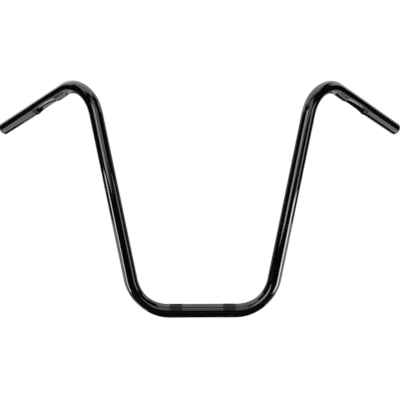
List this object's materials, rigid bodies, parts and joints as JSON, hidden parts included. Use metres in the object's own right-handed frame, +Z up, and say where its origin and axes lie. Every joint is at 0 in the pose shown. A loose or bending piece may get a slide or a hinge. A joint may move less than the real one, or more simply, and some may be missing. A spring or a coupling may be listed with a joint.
{
  "type": "ape hanger handlebar",
  "caption": "Tall bent steel tube handlebar in gloss black, with knurled bands at its clamp section, upright risers and swept-back grips that are dimpled underneath for switch wires.",
  "frame": {"origin": "on the tube's axis, at the middle of the clamp section", "axes": "+X along the clamp section to the rider's left, +Y back towards the rider, +Z up along the risers"},
  "size_m": [0.8696, 0.2135, 0.4449],
  "materials": {
    "gloss_black": "gloss black coating on steel tube, matt where it is knurled"
  },
  "bodies": {
    "root": {"handlebar": "gloss_black"}
  },
  "joints": []
}
